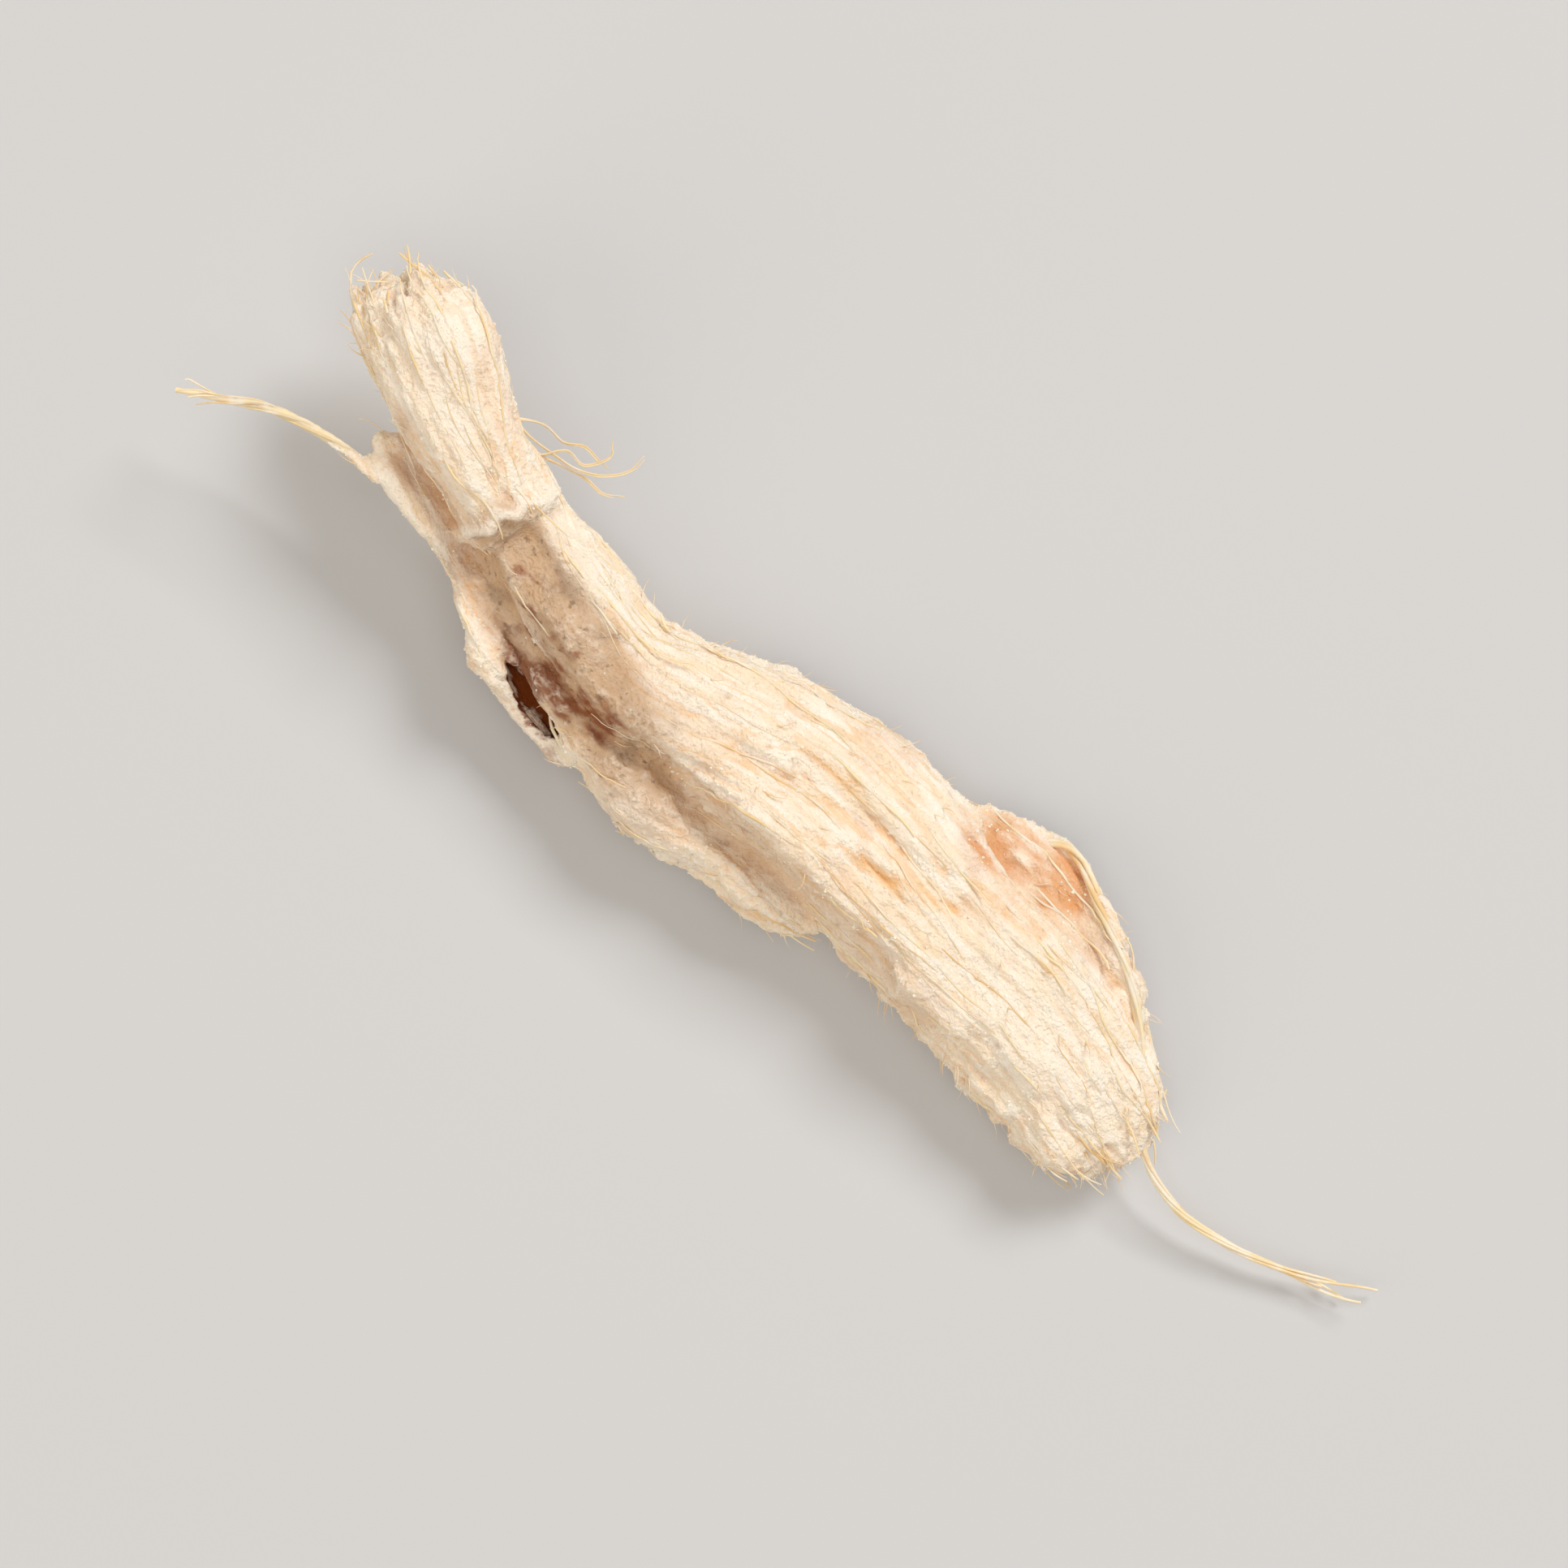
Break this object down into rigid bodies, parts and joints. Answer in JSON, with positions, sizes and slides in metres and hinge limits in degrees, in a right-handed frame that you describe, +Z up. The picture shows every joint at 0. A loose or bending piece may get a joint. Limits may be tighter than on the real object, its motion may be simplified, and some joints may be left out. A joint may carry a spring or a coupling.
{
  "type": "piece of chopped dried ginger root",
  "caption": "Dried, chopped ginger root: a pale torn splinter with a thin neck, a peeled side ribbon, a side lobe and a broad frayed blade that ends in a loose fibre.",
  "frame": {"origin": "middle of the base of the whole piece, on the surface that it lies on", "axes": "+X along the splinter from the thin neck to the broad blade, +Y across it towards the shelf on its edge, +Z up"},
  "size_m": [0.022, 0.0068, 0.0031],
  "materials": {
    "dried_ginger": "matte"
  },
  "bodies": {
    "root": {"ginger_root_piece": "dried_ginger"}
  },
  "joints": []
}
